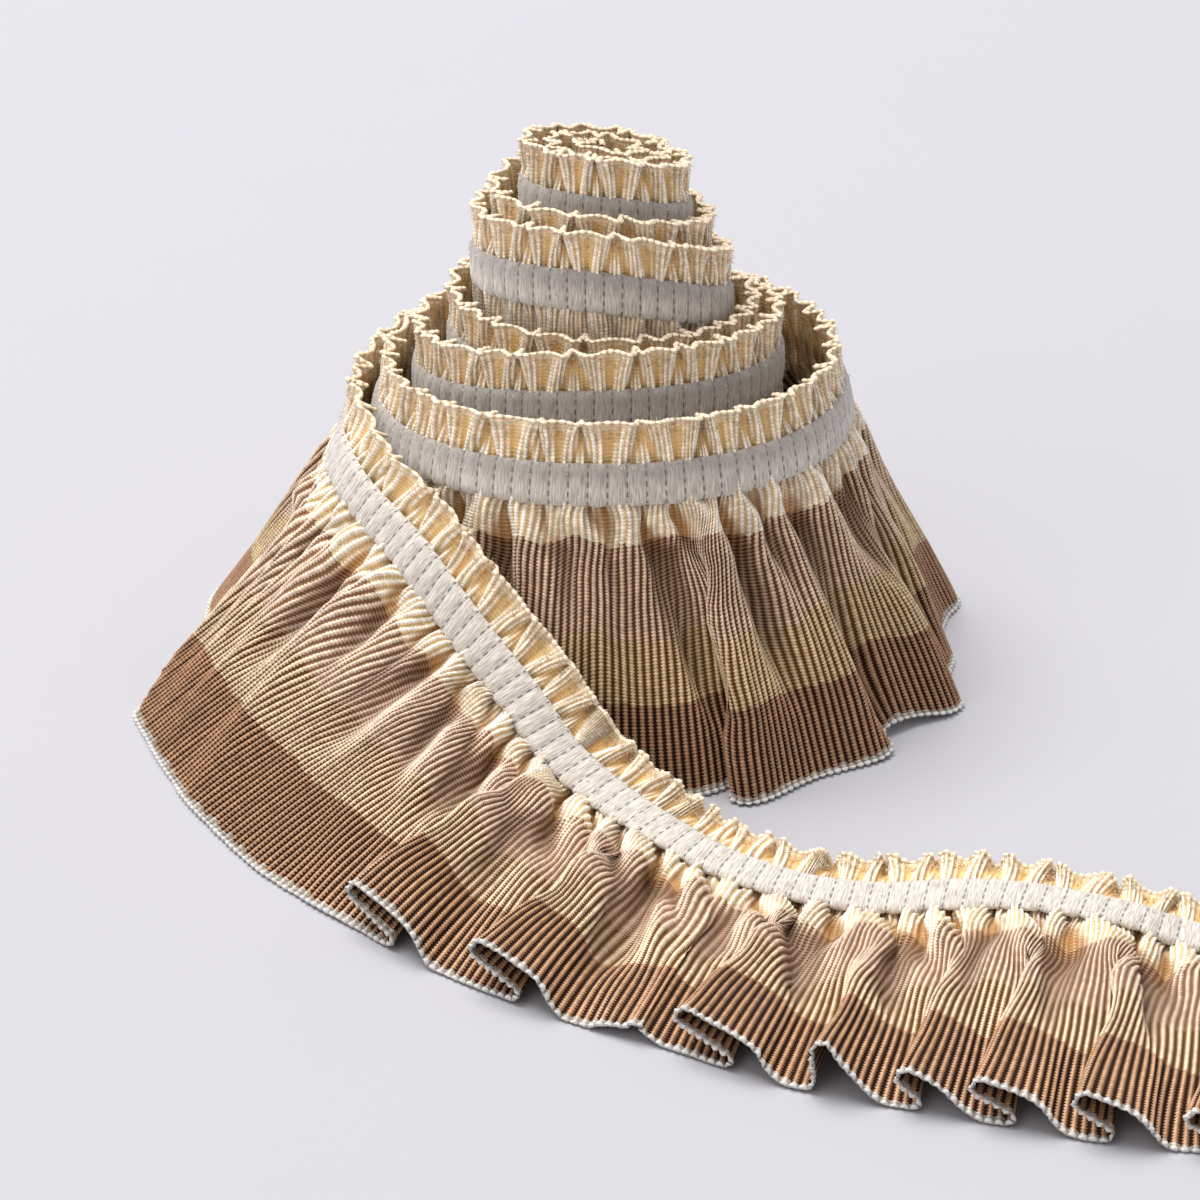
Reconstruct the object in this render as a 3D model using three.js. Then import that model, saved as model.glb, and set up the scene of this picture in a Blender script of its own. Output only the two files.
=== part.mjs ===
// Ruffled ribbon trim with a soft band over its gathers, wound into a roll that is pushed up in
// tiers, with a loose end running down over the skirt and along the floor. Millimetres, +Z up.
// Angles run anticlockwise seen from above, and the front is -Y.
import * as THREE from 'three';

// Driving sizes of the trim, in millimetres
const HEADER = 4.4; // frill above the band
const BAND = 4.4; // width of the soft band
const CLOTH = 1.1; // thickness of the loose sheet
const FRILL = 2.0; // radial depth of one wound frill
const SCALLOP = 6.1; // length of one frill scallop
const SEAT = 0.35; // clearance between the band and its cloth
const BAND_THICKNESS = 0.8;
const LEAN = 1.9; // how far the outer turn leans out between its rim and the band's lower edge
const STEPS = 72; // columns of the grid in one turn
const ROLL_AXIS = [-12.1, 32.9]; // where the roll's upright axis stands

// Wound turns, one row for each quarter turn outwards, starting at the left side of the innermost
// turn that shows: radius of the cloth, height of its rim
const FIRST_QUARTER = -4;
const TURNS = [
  [6.6, 63.4],
  [7.1, 63.2],
  [7.7, 61.8],
  [8.4, 62.2],
  [9.4, 63.8],
  [9.8, 64.0],
  [10.0, 60.8],
  [10.6, 61.0],
  [12.9, 58.6],
  [13.0, 58.3],
  [12.7, 54.6],
  [13.6, 55.2],
  [15.0, 56.0],
  [15.2, 57.0],
  [14.8, 50.6],
  [16.0, 48.0],
  [17.8, 46.4],
  [18.0, 45.7],
  [18.0, 44.6],
  [19.4, 43.2],
  [21.9, 42.0],
  [21.5, 45.5],
  [20.8, 43.6],
  [22.8, 40.4],
  [25.4, 38.2],
  [26.8, 39.3],
  [27.4, 38.8],
  [28.7, 38.8],
  [29.6, 34.0],
];
const OUTER_QUARTER = 20; // where the outermost turn and its skirt begin, at the left
const LAST_QUARTER = 24; // where the loose end leaves the roll

// Hem of the skirt: angle from the front (0 at the front, 90 at the right), radius, lift
const HEM = [
  [-90, 37.6, 0.6],
  [-60, 38.2, 0.4],
  [-30, 39.2, 0],
  [0, 40.2, 0],
  [18, 40.4, 0],
  [22, 43.8, 0],
  [30, 42.8, 0],
  [40, 43.0, 0],
  [46, 43.9, 0],
  [53, 41.0, 0.9],
  [60, 42.3, 0.9],
  [65, 44.4, 0],
  [76, 42.0, 0],
  [92, 40.7, 0],
  [104, 43.6, 0],
  [118, 46.0, 0],
  [130, 43.4, 0],
  [143, 46.8, 0],
  [156, 44.2, 0],
  [170, 47.6, 0],
  [184, 45.2, 0],
  [199, 48.6, 0],
  [214, 46.4, 0],
  [230, 49.6, 0],
  [244, 48.0, 0],
  [258, 50.4, 0],
  [270, 50.6, 0],
];
const HEM_MEAN = [
  [-90, 37.6],
  [0, 40.4],
  [90, 42.4],
  [180, 46.2],
  [270, 50.6],
];
const SKIRT_ROWS = [0.16, 0.38, 0.62, 0.83, 1]; // heights of the skirt's rows, band to hem

// Hollow under the roll, where the inner turns are pushed up: [radius, height] from its mouth
const HOLLOW = [
  [24.5, 0],
  [23, 2.5],
  [18, 5],
  [15.5, 9],
  [12.5, 13],
  [9, 17.5],
];

// Loose end, from the roll to its cut end: middle of the band, frill's rim, edge on the floor
const LOOSE_END = [
  [-31.0, 0.0, 27.8, -28.8, 0.0, 34.0, -50.6, 0.0],
  [-30.4, -7.3, 28.3, -27.4, -7.0, 34.2, -52.6, -12.0],
  [-27.4, -17.0, 27.1, -24.0, -18.0, 32.5, -51.6, -26.0],
  [-21.6, -25.8, 24.1, -17.6, -25.4, 29.0, -47.5, -38.0],
  [-17.4, -31.0, 20.5, -13.6, -30.0, 25.7, -43.0, -47.5],
  [-13.6, -35.2, 16.8, -9.2, -34.0, 20.9, -37.5, -56.5],
  [-8.8, -40.0, 12.4, -4.2, -38.8, 15.0, -30.5, -65.0],
  [-4.8, -44.2, 8.2, 0.2, -41.4, 10.2, -22.5, -72.5],
  [0.5, -49.2, 5.4, 5.2, -45.2, 7.0, -14.3, -79.1],
  [6.3, -55.3, 4.4, 10.6, -50.8, 5.0, -5.0, -86.0],
  [12.6, -60.8, 3.4, 15.7, -55.0, 4.2, 6.0, -92.0],
  [20.8, -65.6, 3.0, 22.8, -59.4, 3.8, 15.5, -98.0],
  [28.7, -68.0, 3.2, 30.2, -61.8, 4.4, 24.0, -101.5],
  [36.6, -70.8, 5.2, 38.2, -64.8, 6.4, 32.0, -104.0],
  [44.0, -73.3, 6.2, 46.0, -67.2, 6.6, 40.0, -106.6],
  [53.3, -76.6, 6.0, 55.6, -70.4, 6.0, 49.0, -109.4],
  [60.6, -78.2, 4.2, 62.2, -71.8, 5.0, 57.0, -110.6],
  [76.0, -80.4, 3.2, 77.2, -74.0, 3.8, 73.0, -112.6],
];

// Folds of the loose edge: place along the band, height, run back, run down
const FOLDS = [
  [52.4, 5.2, 5.0, 4.5],
  [66.2, 5.4, 4.8, 4.8],
  [78.0, 1.6, -3.0, 3.5],
  [86.6, 5.0, 5.2, 4.6],
  [96.8, 5.4, 0.2, 7.0],
  [106.2, 4.0, 2.3, 5.6],
  [114.1, 4.4, 3.8, 5.4],
  [123.8, 4.8, 3.7, 6.2],
  [134.6, 4.2, 3.2, 6.0],
];

const mix = (a, b, t) => a + (b - a) * t;

const smooth = (from, to, value) => THREE.MathUtils.smoothstep(value, from, to);

// Catmull-Rom curve through the rows of a table, at row number t
function rowAt(table, t) {
  const i = THREE.MathUtils.clamp(Math.floor(t), 0, table.length - 2);
  const f = t - i;
  const b = table[i];
  const c = table[i + 1];
  const a = table[i - 1] ?? b.map((value, k) => 2 * value - c[k]);
  const d = table[i + 2] ?? c.map((value, k) => 2 * value - b[k]);
  return b.map((value, k) => {
    const slope = (c[k] - a[k]) * f;
    const bend = (2 * a[k] - 5 * value + 4 * c[k] - d[k]) * f * f;
    const turn = (-a[k] + 3 * value - 3 * c[k] + d[k]) * f * f * f;
    return 0.5 * (2 * value + slope + bend + turn);
  });
}

// Straight-line look-up in a table by its first column
function lookUp(table, key) {
  const last = table.length - 2;
  const found = table.findIndex((row, k) => k > 0 && row[0] >= key);
  const i = THREE.MathUtils.clamp(found < 0 ? last : found - 1, 0, last);
  const f = (key - table[i][0]) / (table[i + 1][0] - table[i][0]);
  return table[i].map((value, k) => mix(value, table[i + 1][k], f));
}

// A closed skin built from shared vertices, quads and flat end faces
class Skin {
  constructor() {
    this.points = [];
    this.faces = [];
  }

  point(x, y, z) {
    this.points.push(x, y, z);
    return this.points.length / 3 - 1;
  }

  triangle(a, b, c) {
    this.faces.push(a, b, c);
  }

  quad(a, b, c, d) {
    this.triangle(a, b, c);
    this.triangle(a, c, d);
  }

  // Strip between two rows of vertices, facing left of the way from the first row to the second
  strip(first, second) {
    for (let i = 0; i + 1 < first.length; i += 1) {
      this.quad(first[i], first[i + 1], second[i + 1], second[i]);
    }
  }

  // Flat face through a loop of vertices whose flat outline is given too
  endFace(loop, outline, flip) {
    for (const [a, b, c] of THREE.ShapeUtils.triangulateShape(outline, [])) {
      const ends = flip ? [loop[a], loop[c], loop[b]] : [loop[a], loop[b], loop[c]];
      this.triangle(...ends);
    }
  }

  mesh(name, color, roughness) {
    const geometry = new THREE.BufferGeometry();
    geometry.setAttribute('position', new THREE.Float32BufferAttribute(this.points, 3));
    geometry.setIndex(this.faces);
    geometry.computeVertexNormals();
    const material = new THREE.MeshStandardMaterial({ color, roughness, metalness: 0 });
    const mesh = new THREE.Mesh(geometry, material);
    mesh.name = name;
    return mesh;
  }
}

// The wound roll

const turnAt = (q) => rowAt(TURNS, q - FIRST_QUARTER);

const quarterOf = (column) => FIRST_QUARTER + (4 * column) / STEPS;

const angleOf = (q) => Math.PI + (q * Math.PI) / 2;

// Radius of a turn's outer face at a drop below its rim: upright inside, leaning out on the skirt
function faceRadius(q, drop) {
  const lean = LEAN * smooth(18, 20.6, q);
  return turnAt(q)[0] - 0.3 + (lean * drop) / (HEADER + BAND);
}

// Height of the trench floor just inside a turn: deeper where the turns stand further apart
function trenchFloor(q) {
  const [radius, rim] = turnAt(q);
  const spacing = radius - turnAt(q - 4)[0];
  return rim - Math.max(1, 1.2 + 1.6 * (spacing - FRILL));
}

// Scallop of the frill's rim, from 0 in the hollows to 1 on the ridges
function scallop(q) {
  const around = (turnAt(q)[0] * q * Math.PI) / 2;
  return 0.5 + 0.5 * Math.cos((2 * Math.PI * around) / SCALLOP);
}

function hemAt(q) {
  const angle = (q - OUTER_QUARTER) * 90 - 90;
  const [, radius, lift] = lookUp(HEM, angle);
  const [, mean] = lookUp(HEM_MEAN, angle);
  return { radius, lift, mean };
}

// Section of one turn's cloth as radius and height, from its inner foot over the rim
function turnSection(q) {
  const [radius, rim] = turnAt(q);
  const ridge = scallop(q);
  const innermost = q < 0;
  const floor = innermost ? rim - 1.2 : trenchFloor(q);
  const drop = q < OUTER_QUARTER ? rim - trenchFloor(q + 4) : HEADER + BAND;
  return {
    inFoot: [radius - FRILL, floor],
    inRim: [radius - FRILL + 0.6 * ridge, rim - 0.3],
    outRim: [radius - 0.5 + 0.8 * ridge, rim],
    face: [faceRadius(q, HEADER), rim - Math.min(HEADER, 0.6 * drop)],
    outFoot: [faceRadius(q, drop), rim - drop],
  };
}

// Skirt below the band: a cone whose waves grow towards the hem
function skirtSection(q) {
  const [top, height] = turnSection(q).outFoot;
  const hem = hemAt(q);
  return SKIRT_ROWS.map((down) => {
    const radius = mix(top, hem.mean, down) + (hem.radius - hem.mean) * down ** 1.3;
    return [radius, mix(height, hem.lift, down)];
  });
}

function buildRoll() {
  const skin = new Skin();
  const turns = (LAST_QUARTER - FIRST_QUARTER) / 4;
  const total = turns * STEPS;
  const outer = total - STEPS;
  const place = (q, [radius, height]) => {
    const angle = angleOf(q);
    return skin.point(radius * Math.cos(angle), radius * Math.sin(angle), height);
  };
  const rows = { inFoot: [], inRim: [], outRim: [], face: [], outFoot: [] };
  for (let column = 0; column <= total; column += 1) {
    const q = quarterOf(column);
    const section = turnSection(q);
    for (const key of Object.keys(rows)) {
      rows[key].push(place(q, section[key]));
    }
  }
  skin.strip(rows.inRim, rows.inFoot);
  skin.strip(rows.outRim, rows.inRim);
  skin.strip(rows.face, rows.outRim);
  skin.strip(rows.outFoot, rows.face);
  skin.strip(rows.inFoot.slice(STEPS), rows.outFoot.slice(0, outer + 1));

  const crown = skin.point(0, 0, 61.0);
  for (let column = 0; column < STEPS; column += 1) {
    skin.triangle(crown, rows.inFoot[column], rows.inFoot[column + 1]);
  }

  // Skirt, foot ring and the hollow under the inner turns
  const skirt = SKIRT_ROWS.map(() => []);
  const floor = [];
  for (let column = outer; column <= total; column += 1) {
    const q = quarterOf(column);
    skirtSection(q).forEach((spot, k) => skirt[k].push(place(q, spot)));
    floor.push(place(q, [hemAt(q).radius - 2.4, 0]));
  }
  const outerFoot = rows.outFoot.slice(outer);
  [outerFoot, ...skirt].slice(0, -1).forEach((row, k) => skin.strip(skirt[k], row));
  skin.strip(floor, skirt.at(-1));
  skin.triangle(floor[0], floor.at(-1), floor.at(-2));
  const rings = HOLLOW.map((spot) =>
    Array.from({ length: STEPS }, (_, column) => place(quarterOf(column), spot)),
  );
  const footRing = floor.slice(0, STEPS);
  const loop = (row) => [...row, row[0]];
  [footRing, ...rings].slice(0, -1).forEach((row, k) => skin.strip(loop(rings[k]), loop(row)));
  const vault = skin.point(0, 0, HOLLOW.at(-1)[1]);
  loop(rings.at(-1)).forEach((spot, k, row) => {
    if (k > 0) {
      skin.triangle(vault, spot, row[k - 1]);
    }
  });

  // Flat faces at the inner and the outer end of the winding, both at the left
  const flat = (index) => new THREE.Vector2(-skin.points[3 * index], skin.points[3 * index + 2]);
  const innerEnd = [
    crown,
    rows.inFoot[STEPS],
    rows.outFoot[0],
    rows.face[0],
    rows.outRim[0],
    rows.inRim[0],
    rows.inFoot[0],
  ];
  skin.endFace(innerEnd, innerEnd.map(flat), false);
  const outerEnd = [
    rows.outFoot[outer],
    ...skirt.map((row) => row[0]),
    floor[0],
    floor.at(-1),
    ...skirt.map((row) => row.at(-1)).reverse(),
    rows.outFoot[total],
    rows.face[total],
    rows.outRim[total],
    rows.inRim[total],
    rows.inFoot[total],
  ];
  skin.endFace(outerEnd, outerEnd.map(flat), true);
  return skin.mesh('ruffle_roll', 0xb89a72, 0.85);
}

// How far below the rim the band can show: to its full width, or to what the next turn leaves free
function bandDrop(q) {
  if (q >= OUTER_QUARTER) return HEADER + BAND;
  const [, rim] = turnAt(q);
  const [nextRadius, nextRim] = turnAt(q + 4);
  const room = nextRadius - FRILL - faceRadius(q, HEADER + BAND) - SEAT - BAND_THICKNESS;
  const lowest = room > 0.3 ? trenchFloor(q + 4) : nextRim;
  return Math.min(HEADER + BAND, rim - lowest - 0.4);
}

// One stretch of the band that shows on the roll, as a curved bar of flat section
function buildBandStretch(name, from, to) {
  const skin = new Skin();
  const rows = [[], [], [], []];
  const first = Math.ceil(((from - FIRST_QUARTER) * STEPS) / 4);
  const last = Math.floor(((to - FIRST_QUARTER) * STEPS) / 4);
  for (let column = first; column <= last; column += 1) {
    const q = quarterOf(column);
    const [, rim] = turnAt(q);
    const lower = bandDrop(q);
    const corners = [
      [lower, SEAT],
      [lower, SEAT + BAND_THICKNESS],
      [HEADER, SEAT + BAND_THICKNESS],
      [HEADER, SEAT],
    ];
    corners.forEach(([drop, out], k) => {
      const radius = faceRadius(q, drop) + out;
      const angle = angleOf(q);
      rows[k].push(skin.point(radius * Math.cos(angle), radius * Math.sin(angle), rim - drop));
    });
  }
  closeBar(skin, rows);
  return skin.mesh(name, 0xc6c2bb, 0.95);
}

// Four long rows of vertices, anticlockwise seen from the first end, closed into a bar
function closeBar(skin, rows) {
  rows.forEach((row, k) => skin.strip(row, rows[(k + 1) % 4]));
  skin.quad(...rows.map((row) => row[0]));
  skin.quad(...rows.map((row) => row.at(-1)).reverse());
}

// The loose end

const BAND_LINE = LOOSE_END.map((row) => new THREE.Vector3(...row.slice(0, 3)));
const PLACES = BAND_LINE.reduce((list, spot, i) => {
  list.push(i === 0 ? 0 : list[i - 1] + spot.distanceTo(BAND_LINE[i - 1]));
  return list;
}, []);
const LOOSE_LENGTH = PLACES.at(-1);

// Section of the loose end at a place along its band: rim, both edges of the band, floor edge
function looseSection(place) {
  const inside = PLACES.findIndex((mark, k) => k > 0 && mark >= place);
  const i = inside < 0 ? PLACES.length - 2 : inside - 1;
  const t = i + (place - PLACES[i]) / (PLACES[i + 1] - PLACES[i]);
  const row = rowAt(LOOSE_END, t);
  const band = new THREE.Vector3(...row.slice(0, 3));
  const rim = new THREE.Vector3(...row.slice(3, 6));
  const across = band.clone().sub(rim).normalize();
  return {
    rim,
    upper: band.clone().addScaledVector(across, -BAND / 2),
    lower: band.clone().addScaledVector(across, BAND / 2),
    edge: new THREE.Vector3(row[6], row[7], CLOTH / 2),
    across,
  };
}

// Outline of the loose edge as place and height: each fold runs on, back over itself and down
function edgeOutline() {
  const spots = [[SEAT, 0]];
  const flatUpTo = (end) => {
    const from = spots.at(-1)[0];
    const count = Math.max(1, Math.round((end - from) / 3.6));
    for (let i = 1; i <= count; i += 1) {
      spots.push([mix(from, end, i / count), 0]);
    }
  };
  for (const [middle, height, back, down] of FOLDS) {
    const front = middle + back / 2;
    const rear = middle - back / 2;
    flatUpTo(front - 2);
    spots.push([front, 0.2 * height]);
    spots.push([middle + 0.15 * back, 0.46 * height]);
    spots.push([rear, 0.74 * height]);
    spots.push([rear + 0.9, height]);
    const crest = Math.max(front, rear);
    spots.push([crest + 0.35 * down, 0.72 * height]);
    spots.push([crest + down, 0.08 * height]);
  }
  flatUpTo(LOOSE_LENGTH);
  return spots;
}

const RUFFLE_ROWS = [0.14, 0.3, 0.48, 0.66, 0.84, 1]; // places of the ruffle's rows, band to edge

// Middle surface of the loose sheet: columns follow the cloth, so folds open towards the band
function looseGrid() {
  const outline = edgeOutline();
  const lengths = [0];
  for (let i = 1; i < outline.length; i += 1) {
    const run = Math.hypot(outline[i][0] - outline[i - 1][0], outline[i][1] - outline[i - 1][1]);
    lengths.push(lengths[i - 1] + run);
  }
  return outline.map(([place, height], i) => {
    // The gathers spread the cloth over the band, so a fold's cloth is shared out along it
    const even = gatheredPlace(outline, lengths, i);
    const top = looseSection(even);
    const wave = Math.cos((2 * Math.PI * even) / SCALLOP);
    const out = new THREE.Vector3().crossVectors(top.across, new THREE.Vector3(1, 0, 0));
    out.z = Math.abs(out.z);
    const rim = top.rim.clone().addScaledVector(out.normalize(), 0.35 * wave);
    const column = [rim, top.upper, top.lower];
    for (const down of RUFFLE_ROWS) {
      const share = smooth(0.02, 0.62, down);
      const section = looseSection(mix(even, place, share));
      const spot = section.lower.clone().lerp(section.edge, down);
      spot.z += height * share ** 1.2 + 5 * down * (1 - down);
      column.push(spot);
    }
    return column;
  });
}

// Place on the band of an edge column: the edge's cloth is drawn up evenly within 12 mm of it
function gatheredPlace(outline, lengths, i) {
  const reach = 12;
  let weights = 0;
  let sum = 0;
  for (let k = 0; k < outline.length; k += 1) {
    const near = Math.max(0, 1 - Math.abs(lengths[k] - lengths[i]) / reach);
    weights += near;
    sum += near * outline[k][0];
  }
  const ends = Math.min(1, lengths[i] / reach, (lengths.at(-1) - lengths[i]) / reach);
  return mix(outline[i][0], sum / weights, ends);
}

// Outward direction at each point of the grid
function looseNormals(grid) {
  return grid.map((column, i) => column.map((spot, k) => {
    const along = grid[Math.min(i + 1, grid.length - 1)][k].clone();
    along.sub(grid[Math.max(i - 1, 0)][k]);
    const down = column[Math.min(k + 1, column.length - 1)].clone();
    down.sub(column[Math.max(k - 1, 0)]);
    return down.cross(along).normalize();
  }));
}

function buildLooseSheet(grid, normals) {
  const skin = new Skin();
  const side = (sign) => grid.map((column, i) => column.map((spot, k) => {
    const place = spot.clone().addScaledVector(normals[i][k], (sign * CLOTH) / 2);
    return skin.point(place.x, place.y, Math.max(0, place.z));
  }));
  const top = side(1);
  const under = side(-1);
  const rows = top[0].length;
  for (let i = 0; i + 1 < grid.length; i += 1) {
    for (let k = 0; k + 1 < rows; k += 1) {
      skin.quad(top[i][k], top[i][k + 1], top[i + 1][k + 1], top[i + 1][k]);
      skin.quad(under[i][k], under[i + 1][k], under[i + 1][k + 1], under[i][k + 1]);
    }
    skin.quad(top[i][0], top[i + 1][0], under[i + 1][0], under[i][0]);
    skin.quad(top[i][rows - 1], under[i][rows - 1], under[i + 1][rows - 1], top[i + 1][rows - 1]);
  }
  const last = grid.length - 1;
  for (let k = 0; k + 1 < rows; k += 1) {
    skin.quad(top[0][k], under[0][k], under[0][k + 1], top[0][k + 1]);
    skin.quad(top[last][k], top[last][k + 1], under[last][k + 1], under[last][k]);
  }
  return skin.mesh('ruffle_tail', 0xb89a72, 0.85);
}

// Band of the loose end, a flat bar that follows the two rows of the sheet under its edges
function buildLooseBand(grid, normals) {
  const skin = new Skin();
  const rows = [[], [], [], []];
  const corners = [
    [2, SEAT],
    [2, SEAT + BAND_THICKNESS],
    [1, SEAT + BAND_THICKNESS],
    [1, SEAT],
  ];
  grid.forEach((column, i) => {
    corners.forEach(([row, above], k) => {
      const spot = column[row].clone().addScaledVector(normals[i][row], CLOTH / 2 + above);
      rows[k].push(skin.point(spot.x, spot.y, spot.z));
    });
  });
  closeBar(skin, rows);
  return skin.mesh('band_tail', 0xdcd8d0, 0.95);
}

const trim = new THREE.Group();
trim.position.set(ROLL_AXIS[0], ROLL_AXIS[1], 0);
trim.add(buildRoll());
trim.add(buildBandStretch('band_roll_1', 0.8, 2.8));
trim.add(buildBandStretch('band_roll_2', 7.2, 11.6));
trim.add(buildBandStretch('band_roll_3', 15.6, 19.6));
trim.add(buildBandStretch('band_roll_4', 20.5, 24));
const looseEnd = looseGrid();
const looseOut = looseNormals(looseEnd);
trim.add(buildLooseSheet(looseEnd, looseOut));
trim.add(buildLooseBand(looseEnd, looseOut));

const part = new THREE.Group();
part.add(trim);
export default part;
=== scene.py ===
"""Ruffled tape trim: a ribbed striped ribbon, gathered under a soft band, in a pushed-up roll.

Sizes are in millimetres until a mesh is made. Places along the trim are measured on its band,
drops are measured on the cloth from the frill's rim, and fabric lengths count the gathered cloth.
Quarter turns count outwards from the left of the top coil, anticlockwise seen from above.
"""

import bpy
import numpy as np
from bpy.props import FloatProperty, FloatVectorProperty, PointerProperty
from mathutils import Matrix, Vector


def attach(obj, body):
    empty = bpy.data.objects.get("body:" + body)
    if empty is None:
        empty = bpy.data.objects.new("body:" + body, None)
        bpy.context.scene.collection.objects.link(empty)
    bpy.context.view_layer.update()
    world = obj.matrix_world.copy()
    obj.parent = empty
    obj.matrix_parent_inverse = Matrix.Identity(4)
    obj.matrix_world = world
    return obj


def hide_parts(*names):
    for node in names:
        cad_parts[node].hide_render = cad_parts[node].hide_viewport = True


bl_info = {
    "name": "Ruffled tape trim",
    "version": (1, 0, 0),
    "blender": (4, 5, 0),
    "location": "View3D > Sidebar > Trim",
    "description": "Dresses a wound ruffled trim with its ribbed cloth, soft band and beaded rims",
    "category": "Add Mesh",
}

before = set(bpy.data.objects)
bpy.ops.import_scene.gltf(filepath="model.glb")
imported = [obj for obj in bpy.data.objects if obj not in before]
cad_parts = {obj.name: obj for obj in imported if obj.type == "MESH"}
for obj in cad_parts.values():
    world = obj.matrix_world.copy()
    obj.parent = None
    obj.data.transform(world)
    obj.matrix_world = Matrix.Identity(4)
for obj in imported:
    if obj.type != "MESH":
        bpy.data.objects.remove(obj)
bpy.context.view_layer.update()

# One millimetre in metres, and the width of the cloth from rim to hem
MM = 0.001
WIDTH = 44.0

# Sizes that the part's source holds too
HEADER = 4.4
BAND = 4.4
ROLL_AXIS = np.array([-12.1, 32.9, 0.0])
LEAN = 1.9
OUTER_QUARTER = 20
LAST_QUARTER = 24

# Sizes of the cloth
RIB_PITCH = 1.0
RIB_HEIGHT = 0.17
LOOSE_RIB_HEIGHT = 0.85 * RIB_HEIGHT
THREAD_PITCH = 0.42
RIB_COLUMNS = 5
STITCH = 2.05
FULLNESS = 2.0

# Drops at which the stripes start
STRIPES = {"cream": 0.0, "mauve": 13.4, "gold": 24.9, "brown": 33.0, "edge": 43.3}

# Woven edges: share of the bead radius, and the girth of the tube on its map
EDGE_BEADS = {"rim": 1.0, "hem": 0.85}
EDGE_GIRTH = 2.6

# Soft band: the quarter turn at which it starts, and its points to each stitch
BAND_START = -4
BAND_STEPS = 8

# Fibres: radius, then how many to a column of the mesh, their lengths, how far they lean from the
# surface's normal to straight up, and the seeds of their spots and shapes
FIBRE_RADIUS = 0.035
RIM_FIBRES = {"density": 3.2, "lengths": (0.3, 1.1), "upright": 0.4, "seeds": (11, 13)}
BAND_FIBRES = {"density": 4.0, "lengths": (0.3, 0.9), "upright": 0.0, "seeds": (3, 5)}

# Heights over the floor: middle of the loose edge, lowest cloth, lowest bead
EDGE_LIFT = 0.4
CLOTH_LIFT = 0.25
BEAD_LIFT = 0.02

# Steps of the curves along the roll, the hem and the loose edge, before the ribs are laid out
ROUTE_STEPS = 6000
HEM_STEPS = 8000
EDGE_STEPS = 9000

# Wound turns, a row for each quarter turn: radius of the cloth, height of the rim
FIRST_QUARTER = -9
TURNS = np.array([
    (2.5, 62.3), (3.2, 63.2), (3.9, 63.1), (4.7, 62.0), (5.6, 62.3),
    (6.6, 63.4), (7.1, 63.2), (7.7, 61.8), (8.4, 62.2),
    (9.4, 63.8), (9.8, 64.0), (10.0, 60.8), (10.6, 61.0),
    (12.9, 58.6), (13.0, 58.3), (12.7, 54.6), (13.6, 55.2),
    (15.0, 56.0), (15.2, 57.0), (14.8, 50.6), (16.0, 48.0),
    (17.8, 46.4), (18.0, 45.7), (18.0, 44.6), (19.4, 43.2),
    (21.9, 42.0), (21.5, 45.5), (20.8, 43.6), (22.8, 40.4),
    (25.4, 38.2), (26.8, 39.3), (27.4, 38.8), (28.7, 38.8),
    (29.6, 34.0),
])  # fmt: skip

# Hem of the skirt: angle from the front, radius, lift. Where the angle runs back, the cloth folds
# over itself.
SKIRT_HEM = np.array([
    (-90, 37.6, 0.9), (-75, 39.0, 0.7), (-60, 37.6, 0.5), (-45, 39.8, 0.4), (-30, 38.4, 0.4),
    (-16, 40.6, 0.4), (-3, 39.6, 0.4), (11.3, 40.5, 0.4), (16, 40.7, 0.4), (21, 39.8, 0.4),
    (24.6, 39.3, 0.4), (24.4, 40.6, 0.4), (21.3, 41.4, 0.4), (19.4, 42.7, 0.4),
    (20.7, 44.4, 0.4), (24.1, 44.3, 0.4), (31, 42.8, 0.4), (36, 42.6, 0.4), (41, 43.2, 0.4),
    (46, 44.0, 0.5), (49.2, 43.6, 0.8), (50.4, 42.3, 1.1), (51.8, 41.2, 1.3),
    (55.1, 40.9, 1.5), (59.7, 42.3, 1.2), (64.3, 44.6, 0.6), (68, 44.9, 0.4), (70.6, 43.4, 0.4),
    (76, 41.8, 0.4), (84, 41.9, 0.4), (91, 40.6, 0.4), (99, 42.4, 0.4), (104, 44.9, 0.4),
    (109, 45.4, 0.5), (110, 43.6, 0.6), (113, 42.2, 0.6), (121, 42.9, 0.4), (128, 45.6, 0.4),
    (134, 46.2, 0.4), (141, 43.8, 0.4), (149, 44.2, 0.4), (154, 47.0, 0.4), (160, 47.9, 0.5),
    (161, 46.1, 0.6), (164, 44.6, 0.6), (173, 45.6, 0.4), (180, 48.2, 0.4), (187, 48.4, 0.4),
    (194, 46.0, 0.4), (203, 46.9, 0.4), (209, 49.5, 0.4), (216, 49.8, 0.4), (218, 48.0, 0.5),
    (222, 46.9, 0.5), (231, 48.1, 0.4), (239, 50.2, 0.4), (247, 49.6, 0.4), (255, 49.6, 0.4),
    (263, 48.6, 0.4), (270, 47.6, 0.4),
])  # fmt: skip
SKIRT_MEAN = np.array([(-90, 37.6), (0, 40.4), (90, 42.4), (180, 46.2), (270, 50.6)])

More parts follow.
